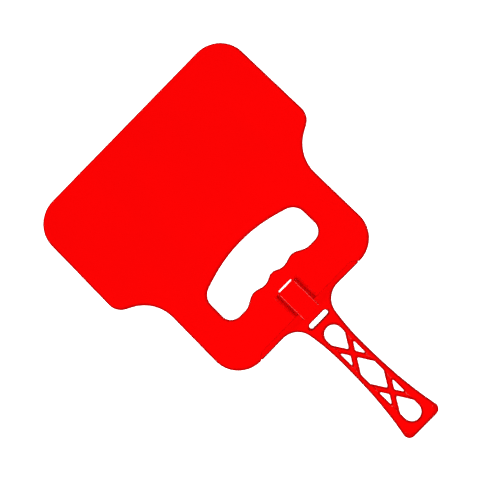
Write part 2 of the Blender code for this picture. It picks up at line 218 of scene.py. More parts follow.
class FanStudio(bpy.types.PropertyGroup):
    """The camera, the soft lights and the sweep."""

    camera_distance: length("Camera distance", "From the camera to the fan's plane", 1200.0)
    camera_tilt: angle("Tilt", "How far the camera leans back towards the handle", -11.95)
    camera_lean: angle("Lean", "How far the camera leans sideways", -1.39)
    camera_roll: angle("Roll", "How far the fan is turned in the view", 45.6)
    aim_x: length("Aim across", "Where the fan's origin lies beside the view's axis", 26.8)
    aim_y: length("Aim along", "Where the fan's origin lies above the view's axis", -27.7)
    focal: bpy.props.FloatProperty(name="Focal length", description="Of the lens", default=101.66)
    light_centre: length("Light centre", "The blade's middle above the frame's origin", 75.0)
    key_distance: length("Key light distance", "From the blade's middle to the key light", 2000.0)
    key_width: length("Key light width", "Of the large soft light, along X", 5200.0)
    key_depth: length("Key light depth", "Of the large soft light, across X", 1300.0)
    key_power: power("Key light power", "Of the large soft light", 131.0)
    key_height: angle("Key light height", "Of the large soft light, above the fan's plane", 78.0)
    gloss_distance: length("Gloss light distance", "From the blade's middle to each one", 1100.0)
    gloss_height: angle("Gloss light height", "Of the mirrored lights above the fan's plane", 38.0)
    gloss_size: length("Gloss light size", "Side of each of the two lights that only mirror", 500.0)
    gloss_power: power("Gloss light power", "Of each of the two lights that only mirror", 3.2)
    sweep_radius: length("Sweep", "Radius of the pale sweep", 9000.0)


# ---------------------------------------------------------------- outlines


def arc(centre, radius, start, end):
    """Points of an arc: the centre plus the radius at evenly spread angles."""
    angles = np.linspace(start, end, max(2, math.ceil(abs(end - start) / ARC_STEP) + 1))
    return np.array(centre) + radius * np.column_stack([np.cos(angles), np.sin(angles)])


def rounded(corners):
    """A closed path from (x, y, radius) corners, each an arc tangent to its two sides.

    A corner's arc starts radius / tan(half its angle) before it, and two arcs that
    would meet on one side share it in proportion."""
    corners = np.array(corners, float)
    here, radius = corners[:, :2], corners[:, 2]
    back, ahead = np.roll(here, 1, 0) - here, np.roll(here, -1, 0) - here
    before, after = np.linalg.norm(back, axis=1), np.linalg.norm(ahead, axis=1)
    a, b = back / before[:, None], ahead / after[:, None]
    half = np.arccos(np.clip(np.sum(a * b, axis=1), -1, 1)) / 2
    reach = radius / np.tan(half)
    room_before = before / (reach + np.roll(reach, 1) + 1e-9)
    room_after = after / (reach + np.roll(reach, -1) + 1e-9)
    radius = radius * np.minimum(1.0, np.minimum(room_before, room_after))
    pieces = []
    for point, u, v, r, h in zip(here, a, b, radius, half):
        if r < 1e-7:
            pieces.append(point[None])
            continue
        middle = (u + v) / np.linalg.norm(u + v)
        centre = point + middle * r / math.sin(h)
        start, end = (point + w * r / math.tan(h) - centre for w in (u, v))
        first = math.atan2(start[1], start[0])
        turn = (math.atan2(end[1], end[0]) - first + math.pi) % (2 * math.pi) - math.pi
        pieces.append(arc(centre, r, first, first + turn))
    return np.vstack(pieces)


def mirrored(right):
    """A closed list of corners from its right half, which runs from the top down."""
    right = np.array(right, float)
    left = right[right[:, 0] > 0][::-1] * (-1, 1, 1)
    return np.vstack([right, left])


def plain(points):
    """Points as corners without a radius."""
    return [(x, y, 0.0) for x, y in points]


def even(path, spacing):
    """A closed path walked in equal steps: its points read off by the distance along it."""
    closed = np.vstack([path, path[:1]])
    along = np.concatenate([[0.0], np.cumsum(np.linalg.norm(np.diff(closed, axis=0), axis=1))])
    count = max(16, math.ceil(along[-1] / spacing))
    stops = np.arange(count) / count * along[-1]
    return np.column_stack([np.interp(stops, along, closed[:, k]) for k in (0, 1)])


def slot_path(width, height, middle):
    """A slot lying along X: two half circles."""
    r = height / 2
    return rounded(mirrored(plain(arc((width / 2 - r, middle), r, math.pi / 2, -math.pi / 2))))


class Plan:
    """The fan's places along X, Y and Z, from the frame's boxes and the sizes."""

    def __init__(self, scene):
        blade, handle, tongue = scene.fan_blade, scene.fan_handle, scene.fan_tongue
        self.top, self.end = BLADE_HIGH.y, HANDLE_LOW.y
        self.edge = self.top - blade.length
        self.step = self.edge + handle.wing_height
        self.root, self.tip = TONGUE_LOW.y, TONGUE_HIGH.y
        self.half_blade, self.half_lower = BLADE_HIGH.x, blade.lower_width / 2
        self.half_tongue = TONGUE_HIGH.x
        self.wing = HANDLE_HIGH.x
        self.fit = TONGUE_LOW.z - BLADE_HIGH.z
        slanted = math.hypot(handle.wing_slant, handle.wing_height)
        self.wing_gap = self.fit * slanted / handle.wing_height
        self.sheet_front, self.sheet_back = BLADE_HIGH.z, BLADE_HIGH.z - blade.thickness
        self.channel = (self.sheet_back - self.fit, self.sheet_front + self.fit)
        self.lip, self.front = self.channel[1] + handle.lip, HANDLE_HIGH.z
        self.rebate = self.edge + handle.wing_web + self.fit
        self.tenon = BLADE_LOW.y
        self.slot = self.root - handle.bridge - handle.slot_height / 2
        self.slit = self.tip + self.fit + tongue.slit_height / 2
        self.rail_inside = handle.waist_width / 2 - handle.rail


def blade_path(plan, blade, handle):
    """The blade's silhouette with the rebate and the tenon at its lower edge."""
    shoulder = plan.top - blade.shoulder_drop
    notch = shoulder - (plan.half_blade - plan.half_lower) * math.tan(blade.shoulder_angle)
    foot = plan.wing + plan.wing_gap
    slant = handle.wing_slant * (plan.rebate - plan.edge) / handle.wing_height
    return rounded(mirrored([
        (plan.half_blade, plan.top, blade.top_radius),
        (plan.half_blade, shoulder, blade.shoulder_radius),
        (plan.half_lower, notch, blade.notch_radius),
        (plan.half_lower, plan.edge, blade.lower_radius),
        (foot, plan.edge, FOOT_CORNER),
        (foot - slant, plan.rebate, REBATE_CORNER),
        (TENON_HALF, plan.rebate, REBATE_CORNER),
        (TENON_HALF, plan.tenon, TENON_CORNER),
    ]))


def side_slot_path(plan, tongue, side):
    """A slot along Y with round ends, flush with one side of the tongue."""
    near, far = plan.half_tongue, plan.half_tongue + tongue.side_slot
    low, high = plan.step - tongue.side_under, plan.tip - tongue.side_short
    radius = 0.49 * tongue.side_slot
    corners = ((near, high), (far, high), (far, low), (near, low))
    return rounded([(side * x, y, radius) for x, y in corners])


def grip_path(plan, grip):
    """The grip hole: an arch that runs straight into its corners, over a floor that is
    a chain of half cosines between the finger bumps and grooves. From the sharper middle
    bump down to the first groove it is a quarter sine."""
    floor = plan.edge + grip.floor
    turns = np.array([
        (MIDDLE_FLAT, grip.middle_bump),
        (grip.finger / 2, grip.groove),
        (grip.finger, grip.outer_bump),
        (FLOOR_FLAT, 0.0),
    ])
    x = np.concatenate([np.linspace(a, b, 13)[1:] for a, b in zip(turns[:-1, 0], turns[1:, 0])])
    leg = np.clip(np.searchsorted(turns[:, 0], x), 1, 3)
    t = (x - turns[leg - 1, 0]) / (turns[leg, 0] - turns[leg - 1, 0])
    low, high = turns[leg - 1, 1], turns[leg, 1]
    fall = np.where(leg == 1, np.sin(math.pi * t / 2), (1 - np.cos(math.pi * t)) / 2)
    wave = np.column_stack([x, floor + low + (high - low) * fall])
    spread = math.asin(grip.arch_width / 2 / grip.crown_radius)
    centre = (0.0, floor + grip.height - grip.crown_radius)
    arch = arc(centre, grip.crown_radius, math.pi / 2, math.pi / 2 - spread)
    side, (end_x, end_y) = grip.width / 2, arch[-1]
    right = plain(arch) + [
        (side, end_y - (side - end_x) * math.tan(spread), grip.top_radius),
        (side, floor, grip.floor_radius),
    ]
    right += plain(wave[::-1]) + [(MIDDLE_FLAT, floor + grip.middle_bump, BUMP_CORNER)]
    return rounded(mirrored(right))


def handle_path(plan, handle):
    """The handle from the wings' top line to its end.

    The flare is an arc, the side above the waist x = w + (y - waist)^2 / 2R, and the
    side below it w + swing * share^2.45, which becomes straight near the end."""
    waist_y, waist = plan.edge - handle.waist_drop, handle.waist_width / 2
    flare, bow = handle.flare_radius, handle.waist_radius
    centre_y, turn = plan.edge - flare, 0.0
    for _ in range(SOLVER_ROUNDS):
        turn = math.atan((centre_y + flare * math.sin(turn) - waist_y) / bow)
    y = centre_y + flare * math.sin(turn)
    x = waist + (y - waist_y) ** 2 / (2 * bow)
    sweep = arc((x + flare * math.cos(turn), centre_y), flare, math.pi / 2, math.pi - turn)
    above = np.linspace(y, waist_y, 16)[1:]
    above_x = waist + (above - waist_y) ** 2 / (2 * bow)
    swing, bend, straight = handle.end_width / 2 - waist, 2.45, 0.91
    part = np.linspace(0, straight, 24)[1:]
    below_x, below = waist + swing * part**bend, waist_y + (plan.end - waist_y) * part
    slope = swing * bend * straight ** (bend - 1)
    corner = waist + swing * straight**bend + slope * (1 - straight)
    right = [
        (plan.wing - handle.wing_slant, plan.step, 1.0 * MM),
        (plan.wing, plan.edge, 0.45 * MM),
        *plain(sweep),
        *plain(zip(above_x, above)),
        *plain(zip(below_x, below)),
        (corner, plan.end, handle.end_radius),
    ]
    return rounded(mirrored(right))


def crossings(plan, handle):
    """Where the two crossings lie, how far their sides reach along the middle line (tip),
    along the rails (outer and inner), and across (waist).

    Half a bar's angle h and the tip satisfy tan h = rail / (outer - tip) and
    tip = bar / 2 sin h, which are solved in turn."""
    top, end, rail = plan.edge - handle.lattice_top, plan.end + handle.end_wall, plan.rail_inside
    outer = (top - end - 2 * rail - 2 * handle.end_side - handle.middle_side) / 4
    tip = 0.0
    for _ in range(SOLVER_ROUNDS):
        half = math.atan(rail / (outer - tip))
        tip = handle.bar / 2 / math.sin(half)
    first = top - rail - handle.end_side - outer
    places = (first, first - 2 * outer - handle.middle_side)
    return places, tip, outer, outer - 2 * tip, handle.bar / 2 / math.cos(half)


def lattice_paths(plan, handle):
    """Three windows, and a triangle on each side of a crossing."""
    (first, second), tip, outer, inner, waist = crossings(plan, handle)
    rail = plan.rail_inside
    bend, fillet, tip_fillet, sharp = 3.0 * MM, 2.0 * MM, 0.9 * MM, 0.6 * MM
    top = arc((0, plan.edge - handle.lattice_top - rail), rail, math.pi / 2, 0)
    end = arc((0, plan.end + handle.end_wall + rail), rail, 0, -math.pi / 2)
    windows = [
        plain(top) + [(rail, first + outer, bend), (0.0, first + tip, tip_fillet)],
        [
            (0.0, first - tip, tip_fillet),
            (rail, first - outer, bend),
            (rail, second + outer, bend),
            (0.0, second + tip, tip_fillet),
        ],
        [(0.0, second - tip, tip_fillet), (rail, second - outer, bend)] + plain(end),
    ]
    paths = [rounded(mirrored(window)) for window in windows]
    for middle in (first, second):
        for side in (1, -1):
            paths.append(rounded([
                (side * waist, middle, fillet),
                (side * rail, middle + inner, sharp),
                (side * rail, middle - inner, sharp),
            ]))
    return paths


# ---------------------------------------------------------------- surfaces


def smooth(x):
    """The smooth step 3x^2 - 2x^3 between 0 and 1."""
    x = np.clip(x, 0.0, 1.0)
    return x * x * (3 - 2 * x)


def turned(path, hole):
    """The path with the material on its left: the outside anticlockwise, a hole clockwise."""
    x, y = path.T
    anticlockwise = np.sum(x * np.roll(y, -1) - np.roll(x, -1) * y) > 0
    return path if anticlockwise != hole else path[::-1]


def into_material(path):
    """Unit normals to the left of the path, from the chord between a point's neighbours."""
    chord = np.roll(path, -1, 0) - np.roll(path, 1, 0)
    chord /= np.linalg.norm(chord, axis=1)[:, None]
    return np.column_stack([-chord[:, 1], chord[:, 0]])


def quarter(count):
    """Angles from 0 to a quarter turn, as a column."""
    return np.linspace(0, math.pi / 2, count)[:, None]


def round_edge(reach, drop, back_reach, back_drop, steps=7, bevel=0.0):
    """An edge's profile from the front face round to the back face, as rows of
    (offset into the material, height off the face, 1 for the front face or 0 for the back).

    Each rounding is a quarter ellipse: offset = reach (1 - sin t), height = drop (1 - cos t).
    On the front face, bevel mixes it with a straight slope: offset = reach (1 - t),
    height = drop t, with t from 0 to 1."""
    t = quarter(steps)
    straight = t / (math.pi / 2)
    flat = np.zeros_like(reach)[None]
    offset = np.vstack([
        flat + reach + GUARD,
        reach * (1 - np.sin(t) + bevel * (np.sin(t) - straight)),
        back_reach * (1 - np.cos(t)),
        flat + back_reach + GUARD,
    ])
    fall = drop * (1 - np.cos(t) + bevel * (straight - 1 + np.cos(t)))
    height = np.vstack([flat, fall, back_drop * (1 - np.sin(t)), flat])
    front = np.repeat([1.0, 0.0], steps + 1)[:, None]
    # Mask across each rounding, highest in its middle: it marks the scuffed edges, whose lighter
    # colour is partly a painted highlight.
    worn_and_highlit = np.concatenate([[0], np.sin(2 * t[:, 0]), np.sin(2 * t[:, 0]), [0]])
    return offset, height, front, worn_and_highlit


def inside(points, rings):
    """Whether each point lies inside an odd number of the rings."""
    odd = np.zeros(len(points), bool)
    blocks = np.array_split(np.arange(len(points)), max(1, len(points) // 3000))
    for ring in rings:
        (x0, y0), (x1, y1) = ring.T, np.roll(ring, -1, 0).T
        rise = np.where(y1 == y0, 1.0, y1 - y0)
        for block in blocks:
            px, py = points[block, :1], points[block, 1:]
            crossed = ((y0 > py) != (y1 > py)) & (px < x0 + (py - y0) * (x1 - x0) / rise)
            odd[block] ^= crossed.sum(axis=1) % 2 == 1
    return odd


def clear_of(points, rings, gap):
    """The points that lie further than gap from every ring's points."""
    for ring in rings:
        blocks = np.array_split(points, max(1, len(points) // 3000))
        near = [((b[:, None] - ring[None]) ** 2).sum(axis=2).min(axis=1) for b in blocks]
        points = points[np.concatenate(near) > gap * gap]
    return points


def fill(rings, spacing, marks=()):
    """The grid points between the rings and the triangles that join rings, marks and grid."""
    loops = [*rings, *marks]
    corners = np.vstack(loops)
    low, high = corners.min(axis=0), corners.max(axis=0)
    axes = [np.arange(a + spacing / 2, b, spacing) for a, b in zip(low, high)]
    grid = np.stack(np.meshgrid(*axes), -1).reshape(-1, 2)
    grid = clear_of(grid[inside(grid, rings)], loops, 0.6 * spacing)
    starts = np.cumsum([0] + [len(loop) for loop in loops[:-1]])
    edges = np.vstack([
        np.column_stack([s + np.arange(len(loop)), s + np.roll(np.arange(len(loop)), -1)])
        for s, loop in zip(starts, loops)
    ])
    points = np.vstack([corners, grid])
    found = delaunay_2d_cdt([Vector(p) for p in points.tolist()], edges.tolist(), [], 0, 1e-9)
    origin = np.array([ids[0] if ids else -1 for ids in found[3]])
    triangles = origin[np.array([f for f in found[2] if len(f) == 3])]
    triangles = triangles[(triangles >= 0).all(axis=1)]
    a, b, c = (points[triangles[:, k]] for k in range(3))
    double = (b - a)[:, 0] * (c - a)[:, 1] - (b - a)[:, 1] * (c - a)[:, 0]
    triangles[double < 0] = triangles[double < 0][:, ::-1]
    triangles = triangles[(np.abs(double) > 1e-14) & inside((a + b + c) / 3, rings)]
    return points[len(corners):], triangles


def strips(ids):
    """Quads between the rows of a grid of vertex numbers, whose last column joins its first."""
    ahead = np.roll(ids, -1, axis=1)
    quads = np.stack([ids[:-1], ids[1:], ahead[1:], ahead[:-1]], axis=-1)
    return quads.reshape(-1, 4).tolist()


def placed(name, data):
    """An object for the mesh, light or camera, in the scene."""
    made = bpy.data.objects.new(name, data)
    bpy.context.scene.collection.objects.link(made)
    return made


def shell(name, paths, profile, front, back, spacing, marks=()):
    """A closed piece from its paths, the first its outside and the others its holes.

    A point of the edge surface is path(s) + normal(s) offset(s, t), at the front or the
    back face's own height there, less or plus the profile's height(s, t)."""
    vertices, faces, worn_and_highlit, total = [], [], [], 0
    front_rings, back_rings, front_ids, back_ids = [], [], [], []
    for number, path in enumerate(paths):
        path = turned(path, number > 0)
        normals = into_material(path)
        offset, height, share_front, wear_and_highlight = profile(path, normals, number)
        ground = path[None] + normals[None] * offset[..., None]
        z_front = front(ground[..., 0], ground[..., 1]) - height
        z_back = back(ground[..., 0], ground[..., 1]) + height
        z = share_front * z_front + (1 - share_front) * z_back
        rows, count = offset.shape
        ids = total + np.arange(rows * count).reshape(rows, count)
        vertices.append(np.dstack([ground, z]).reshape(-1, 3))
        worn_and_highlit.append(np.repeat(wear_and_highlight, count))
        faces += strips(ids)
        front_rings.append(ground[0])
        back_rings.append(ground[-1])
        front_ids.append(ids[0])
        back_ids.append(ids[-1])
        total += rows * count
    for rings, ids, face, extra, flip in (
        (front_rings, front_ids, front, (), 1),
        (back_rings, back_ids, back, marks, -1),
    ):
        grid, triangles = fill(rings, spacing, extra)
        added = np.vstack([*extra, grid]) if len(extra) else grid
        vertices.append(np.column_stack([added, face(added[:, 0], added[:, 1])]))
        worn_and_highlit.append(np.zeros(len(added)))
        ids = np.concatenate([*ids, total + np.arange(len(added))])
        faces += ids[triangles][:, ::flip].tolist()
        total += len(added)
    mesh = bpy.data.meshes.new(name)
    mesh.from_pydata(np.vstack(vertices).tolist(), [], faces)
    # The edge mask goes to the plastic, where it tints the roundings lighter: scuffing and a
    # painted highlight.
    edge = mesh.attributes.new("edge", "FLOAT", "POINT")
    edge.data.foreach_set("value", np.concatenate(worn_and_highlit).astype(np.float32))
    mesh.shade_smooth()
    return placed(name, mesh)


def prism(name, path, low, high):
    """A cutter: the path at two heights, its side and its two ends."""
    count = len(path)
    base = np.column_stack([turned(path, False), np.full(count, low)])
    ring = np.arange(count)
    sides = np.column_stack([ring, np.roll(ring, -1), np.roll(ring, -1) + count, ring + count])
    mesh = bpy.data.meshes.new(name)
    mesh.from_pydata(
        np.vstack([base, base + (0, 0, high - low)]).tolist(),
        [],
        sides.tolist() + [ring[::-1].tolist(), (ring + count).tolist()],
    )
    return placed(name, mesh)


def worked(piece, tool, operation):
    """The piece after a Boolean with the tool, which is then thrown away."""
    modifier = piece.modifiers.new(tool.name, "BOOLEAN")
    modifier.solver, modifier.operation, modifier.object = "EXACT", operation, tool
    bpy.context.view_layer.update()
    result = piece.evaluated_get(bpy.context.evaluated_depsgraph_get())
    done = bpy.data.meshes.new_from_object(result)
    piece.modifiers.clear()
    piece.data = done
    bpy.data.objects.remove(tool)
    return piece


# ---------------------------------------------------------------- plastic


def plastic(name, finish, flow):
    """Moulded polypropylene: slightly uneven pigment and gloss along the flow of the melt,
    a fine grain over a soft orange peel, hairline scratches, and scuffed edges, whose
    lighter, pinker colour on the roundings is partly a painted highlight."""
    material = bpy.data.materials.new(name)
    material.use_nodes = True
    tree = material.node_tree
    shader = tree.nodes["Principled BSDF"]
    link = tree.links.new

    def node(kind, **values):
        made = tree.nodes.new(kind)
        for key, value in values.items():
            setattr(made, key, value)
        return made

    def noise(scale, detail, stretch=(1, 1, 1)):
        mapping = node("ShaderNodeMapping")
        mapping.inputs["Scale"].default_value = stretch
        link(place.outputs["Object"], mapping.inputs["Vector"])
        made = node("ShaderNodeTexNoise")
        made.inputs["Scale"].default_value = scale
        made.inputs["Detail"].default_value = detail
        link(mapping.outputs["Vector"], made.inputs["Vector"])
        return made.outputs["Fac"]

    def spread(value, low, high, to_low, to_high):
        made = node("ShaderNodeMapRange")
        link(value, made.inputs["Value"])
        sockets = ("From Min", "From Max", "To Min", "To Max")
        for key, number in zip(sockets, (low, high, to_low, to_high)):
            made.inputs[key].default_value = number
        return made.outputs["Result"]

    def maths(operation, a, b):
        made = node("ShaderNodeMath", operation=operation)
        for socket, value in zip(made.inputs, (a, b)):
            if isinstance(value, float):
                socket.default_value = value
            else:
                link(value, socket)
        return made.outputs["Value"]

    def mixed(factor, a, b):
        made = node("ShaderNodeMix", data_type="RGBA")
        link(factor, made.inputs["Factor"])
        for socket, value in ((made.inputs["A"], a), (made.inputs["B"], b)):
            if isinstance(value, bpy.types.NodeSocket):
                link(value, socket)
            else:
                socket.default_value = (*value, 1.0)
        return made.outputs["Result"]

    place = node("ShaderNodeTexCoord")
    pigment = noise(FLOW, 4.0, flow)
    edge = node("ShaderNodeAttribute", attribute_name="edge").outputs["Fac"]
    # Scuffing with a painted highlight: across the edges' roundings the colour turns lighter and
    # pinker in noisy patches, and the same mask roughens the skin there.
    rubbed_and_highlit = maths("MULTIPLY", edge, spread(noise(RUBS, 5.0), 0.42, 0.72, 0.0, finish.scuffing_and_highlight))
    skin = mixed(spread(pigment, 0.35, 0.65, 0.0, 1.0), finish.red, finish.deep_red)
    link(mixed(rubbed_and_highlit, skin, finish.scuffed_and_highlit), shader.inputs["Base Color"])

    hairlines = spread(noise(HAIRS, 2.0, (38.0, 1.2, 1.0)), 0.66, 0.74, 0.0, 1.0)
    gloss = maths("ADD", spread(pigment, 0.3, 0.7, -0.03, 0.03), finish.roughness)
    gloss = maths("ADD", gloss, maths("MULTIPLY", rubbed_and_highlit, 0.9))
    link(maths("ADD", gloss, maths("MULTIPLY", hairlines, 0.04)), shader.inputs["Roughness"])

    peel = noise(PEEL, 2.0)
    grain = maths("MULTIPLY", noise(GRAIN, 3.0), 0.22)
    scratch = maths("MULTIPLY", hairlines, -0.05)
    bump = node("ShaderNodeBump")
    bump.inputs["Strength"].default_value = 0.5
    bump.inputs["Distance"].default_value = finish.grain
    link(maths("ADD", maths("ADD", peel, grain), scratch), bump.inputs["Height"])
    link(bump.outputs["Normal"], shader.inputs["Normal"])
    shader.inputs["Specular IOR Level"].default_value = 0.45
    return material


def finished(piece, finish, flow, slot, node):
    """Gives a piece its plastic and hides the CAD node it stands for."""
    piece.data.materials.clear()
    piece.data.materials.append(plastic(slot, finish, flow))
    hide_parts(node)


# ---------------------------------------------------------------- operators


class FAN_OT_blade(bpy.types.Operator):
    """Build the blade: a flat sheet with its grip hole and slit, and a rim behind its edges"""

    bl_idname = "fan.blade"
    bl_label = "Blade"

    def execute(self, context):
        scene = context.scene
        blade, grip, tongue = scene.fan_blade, scene.fan_grip, scene.fan_tongue
        plan = Plan(scene)
        foot = plan.wing + plan.wing_gap
        rim_height = plan.sheet_back

        def profile(path, normals, number):
            """The sheet's rounded edge, then the rim: down to the resting plane, across its
            width, and up a small fillet to the sheet's back. Where the handle clasps the
            lower edge, and at the slots, the rim's height and width shrink to nothing. Beside
            the tongue the sheet falls away softly to the side slots."""
            x, y = np.abs(path[:, 0]), path[:, 1]
            low_edge = y < plan.step + plan.fit
            rim = np.where(low_edge, smooth((x - foot) / (1.6 * MM)), 1.0)
            if number >= 2:
                rim = np.zeros(len(path))
            back_soft = 0.6 * MM * (0.5 + 0.5 * rim)
            reach = blade.rounding * (0.3 + 0.7 * rim)
            drop = blade.edge_fall * rim + 0.5 * MM * (1 - rim)
            bevel = 0.5 * rim
            if number > 2:
                outward = smooth((x - plan.half_tongue) / tongue.side_slot)
                reach = 0.3 * MM + 2.3 * MM * outward
                drop = 0.3 * MM + 2.0 * MM * outward
                bevel = 0.9 * outward
            offset, height, front, worn_and_highlit = round_edge(reach, drop, back_soft, back_soft, bevel=bevel)
            t = quarter(4)
            corner, fillet, apart = 0.5 * MM, 0.7 * MM, 0.02 * MM
            width = blade.rim_width * (0.12 + 0.88 * rim)
            inner = np.vstack([
                width - corner * rim * (1 - np.sin(t)),
                width + fillet * rim * (1 - np.cos(t)) + apart,
                (width + fillet * rim + GUARD)[None],
            ])
            rise = np.vstack([
                corner * (1 - np.cos(t)),
                rim_height - fillet * (1 - np.sin(t)),
                [[rim_height]],
            ])
            offset = np.vstack([offset, inner])
            height = np.vstack([
                height[front[:, 0] == 1],
                height[front[:, 0] == 0] - rim * rim_height,
                rim * (rise - rim_height),
            ])
            front = np.vstack([front, np.zeros((len(inner), 1))])
            worn_and_highlit = np.concatenate([worn_and_highlit, np.sin(2 * t[:, 0]), np.zeros(len(t) + 1)])
            return offset, height, front, worn_and_highlit

        def front_face(x, y):
            return np.full(np.shape(x), plan.sheet_front)

        columns, rows = (-0.62, 0.0, 0.62), (0.78, 0.5, 0.24)
        pins = [(c * plan.half_blade, r * plan.top) for c in columns for r in rows]
        pins += [(s * 0.82 * plan.half_lower, 0.45 * plan.edge) for s in (1, -1)]
        gate, gate_radius, gate_height = (0.0, 0.37 * plan.top), 1.6 * MM, 0.45 * MM
        pin_bank, gate_bank = 0.15 * MM, 0.3 * MM

        def back_face(x, y):
            """The sheet's back, with a shallow disc for each ejector pin and the gate's nub."""
            z = np.full(np.shape(x), plan.sheet_back)
            for px, py in pins:
                within = blade.pin_radius - np.hypot(x - px, y - py)
                z += blade.pin_depth * smooth(within / pin_bank)
            nub = smooth((gate_radius - np.hypot(x - gate[0], y - gate[1])) / gate_bank)
            return z - gate_height * nub

        turn = (0.0, 2 * math.pi * 31 / 32)
        pin_rings = (blade.pin_radius, blade.pin_radius - pin_bank)
        marks = [arc(pin, radius, *turn)[::3] for pin in pins for radius in pin_rings]
        gate_rings = (gate_radius, gate_radius - gate_bank)
        marks += [arc(gate, radius, *turn)[::3] for radius in gate_rings]

        paths = [
            even(blade_path(plan, blade, scene.fan_handle), 0.9 * MM),
            even(grip_path(plan, grip), 0.7 * MM),
            even(slot_path(tongue.slit_width, tongue.slit_height, plan.slit), 0.25 * MM),
        ]
        paths += [even(side_slot_path(plan, tongue, side), 0.3 * MM) for side in (1, -1)]
        piece = shell("blade_shell", paths, profile, front_face, back_face, 7.0 * MM, marks)
        piece.data.set_sharp_from_angle(angle=SHARP)
        finished(piece, scene.fan_plastic, (1.0, 0.5, 1.0), "blade_plastic", "blade")
        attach(piece, "blade_body")
        return {"FINISHED"}


class FAN_OT_handle(bpy.types.Operator):
    """Build the handle: wings, jaw, neck with its slot, rails and crossings"""

    bl_idname = "fan.handle"
    bl_label = "Handle"

    def execute(self, context):
        scene = context.scene
        handle, tongue = scene.fan_handle, scene.fan_tongue
        plan = Plan(scene)
        places, _, outer, _, _ = crossings(plan, handle)

        def sunk(x, y):
            """How far the surface lies under the rails: full beside them, less at a crossing."""
            beside = smooth((plan.rail_inside + 0.2 * MM - np.abs(x)) / (1.1 * MM))
            depth = np.zeros(np.shape(x))
            for middle in places:
                along = smooth((outer + 1.0 * MM - np.abs(y - middle)) / (2.0 * MM))
                dome = 0.85 * np.exp(-(x**2 + (y - middle) ** 2) / (2 * (4.0 * MM) ** 2))
                depth = np.maximum(depth, along * (1 - dome))
            return handle.bar_sunk * beside * depth

        def front_face(x, y):
            """Up from the wings' lip to the neck, and level from there on, with a small pip
            in each corner of the end."""
            climb = np.clip((plan.step - y) / (plan.step - plan.root), 0, 1)
            climb = 0.35 * climb + 0.65 * smooth(climb)
            within = PIP_RADIUS - np.hypot(np.abs(x) - PIP_X, y - plan.end - PIP_Y)
            pip = smooth(within / (0.9 * PIP_RADIUS))
            return plan.lip + (plan.front - plan.lip) * climb - sunk(x, y) + PIP_HEIGHT * pip

        def back_face(x, y):
            return sunk(x, y)

        def profile(path, normals, number):
            """Fine edges on the wings, rounder ones on the neck, and nearly half round rails
            and bars. The slot's lower side falls away more than its upper side, and the
            end's corners are the softest."""
            x, y = np.abs(path[:, 0]), path[:, 1]
            wings = smooth((x - 0.6 * plan.wing) / (0.25 * plan.wing))
            lattice = smooth((plan.edge - 0.6 * handle.lattice_top - y) / (14.0 * MM))
            reach = handle.edge_rounding + (handle.rail_rounding - handle.edge_rounding) * lattice
            reach = reach * (1 - 0.6 * wings)
            top_line = smooth((y - plan.step + 1.5 * MM) / (1.2 * MM))
            reach = reach * (1 - top_line) + 0.7 * MM * top_line * (1 - 0.3 * wings)
            drop = reach * (1.1 + 1.2 * (1 - wings) * (1 - top_line))
            bevel = 0.45 * (1 - wings) * (1 - top_line)
            back_reach = 0.8 * reach
            if number == 0:
                aside = smooth((x - 9 * MM) / (7 * MM))
                corner = aside * smooth((plan.end + 11 * MM - y) / (7 * MM))
                reach = reach + 2.2 * MM * corner
                drop = drop + 0.3 * MM * corner
            if number == 1:
                lower = smooth(0.5 - 1.2 * normals[:, 1])
                reach = 0.55 * MM + 2.0 * MM * lower
                drop = 0.55 * MM + 6.4 * MM * lower
                back_reach = np.full(len(path), 0.5 * MM)
                bevel = 0.85 * lower
            return round_edge(reach, drop, back_reach, back_reach, bevel=bevel)

        paths = [even(handle_path(plan, handle), 0.45 * MM)]
        paths.append(even(slot_path(handle.slot_width, handle.slot_height, plan.slot), 0.3 * MM))
        paths += [even(path, 0.3 * MM) for path in lattice_paths(plan, handle)]
        piece = shell("handle_shell", paths, profile, front_face, back_face, 0.7 * MM)

        above, floor = plan.step + 8 * MM, plan.edge + handle.wing_web
        socket, inner = TENON_HALF + plan.fit, 0.5 * MM
        channel = rounded([
            (BEYOND, above, 0.0), (-BEYOND, above, 0.0),
            (-BEYOND, floor, 0.0), (-socket, floor, inner),
            (-socket, plan.slot, 0.0), (socket, plan.slot, 0.0),
            (socket, floor, inner), (BEYOND, floor, 0.0),
        ])
        worked(piece, prism("channel", channel, *plan.channel), "DIFFERENCE")
        bay, start = plan.half_tongue + tongue.bay_gap, plan.root + 2.2 * MM
        foot_corner = 0.8 * MM
        sides = rounded([
            (bay, above, 0.0), (-bay, above, 0.0),
            (-bay, start, foot_corner), (bay, start, foot_corner),
        ])
        cutter = prism("bay", sides, plan.channel[1] - 0.5 * MM, plan.front + 4 * MM)
        worked(piece, cutter, "DIFFERENCE")
        worked(piece, self.jaw(plan, tongue), "UNION")
        piece.data.set_sharp_from_angle(angle=SHARP)
        finished(piece, scene.fan_plastic, (1.0, 0.35, 1.0), "handle_plastic", "handle")
        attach(piece, "handle_body")
        return {"FINISHED"}

    def jaw(self, plan, tongue):
        """The flat finger behind the blade, thinned towards its rounded tip."""
        half, thick = 16.0 * MM, plan.channel[0] - 0.08 * MM
        tip = plan.slit - tongue.slit_height / 2 - 0.6 * MM
        foot = plan.edge - 4.0 * MM
        path = rounded(mirrored([(half, tip, 3.5 * MM), (half, foot, 0.6 * MM)]))

        def profile(path, normals, number):
            soft = np.full(len(path), 0.55 * MM)
            return round_edge(soft, 0.8 * soft, soft, soft)

        def front_face(x, y):
            return thick - 1.1 * MM * smooth((y - plan.step) / (8 * MM))

        def back_face(x, y):
            return np.full(np.shape(x), 0.1 * MM)

        return shell("jaw", [even(path, 0.5 * MM)], profile, front_face, back_face, 1.5 * MM)


